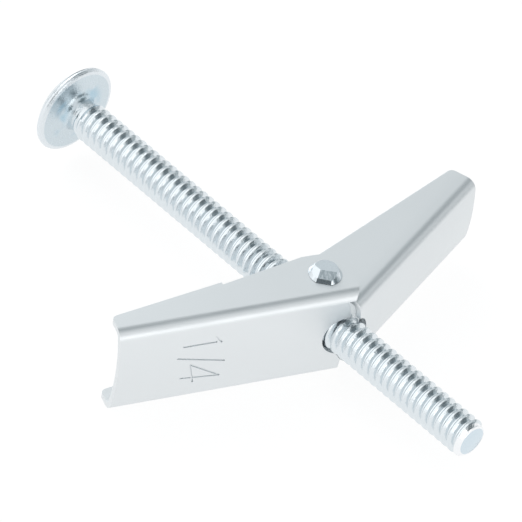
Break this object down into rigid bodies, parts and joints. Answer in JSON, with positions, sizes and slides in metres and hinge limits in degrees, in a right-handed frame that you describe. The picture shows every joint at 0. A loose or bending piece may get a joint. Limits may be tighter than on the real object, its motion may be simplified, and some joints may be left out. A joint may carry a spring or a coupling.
{
  "type": "spring-wing toggle bolt",
  "caption": "Toggle bolt for hollow walls: a domed-head machine bolt carries a trunnion nut with two nested folded sheet wings, sprung open, that fold back along the bolt.",
  "frame": {"origin": "centre of the flat bearing face under the bolt's head", "axes": "+X along the bolt from the head to the tip; +Z along the trunnion on which both wings hinge; the wider outer wing lies on the -Y side and the narrower inner wing on the +Y side"},
  "size_m": [0.0928, 0.0696, 0.0182],
  "materials": {
    "bolt_zinc": "bright zinc plated",
    "nut_zinc": "bright zinc plated",
    "sheet_zinc": "zinc plated, satin",
    "spring_wire": "drawn wire"
  },
  "bodies": {
    "bolt": {"bolt": "bolt_zinc"},
    "nut": {"trunnion_nut": "nut_zinc", "spring": "spring_wire"},
    "outer_wing": {"outer_wing": "sheet_zinc"},
    "inner_wing": {"inner_wing": "sheet_zinc"}
  },
  "joints": [
    {"name": "nut_travel", "type": "slide", "parent": "bolt", "child": "nut", "axis": [1, 0, 0], "range_m": [-0.02, 0.028]},
    {"name": "outer_wing_fold", "type": "hinge", "parent": "nut", "child": "outer_wing", "pos_m": [0.05527, 0, 0], "axis": [0, 0, -1], "range_deg": [0, 68], "stiffness_Nm_per_rad": 0.02, "springref_deg": -51.57, "deforming": ["spring"]},
    {"name": "inner_wing_fold", "type": "hinge", "parent": "nut", "child": "inner_wing", "pos_m": [0.05527, 0, 0], "axis": [0, 0, 1], "range_deg": [0, 73], "stiffness_Nm_per_rad": 0.02, "springref_deg": -51.57, "deforming": ["spring"]}
  ]
}
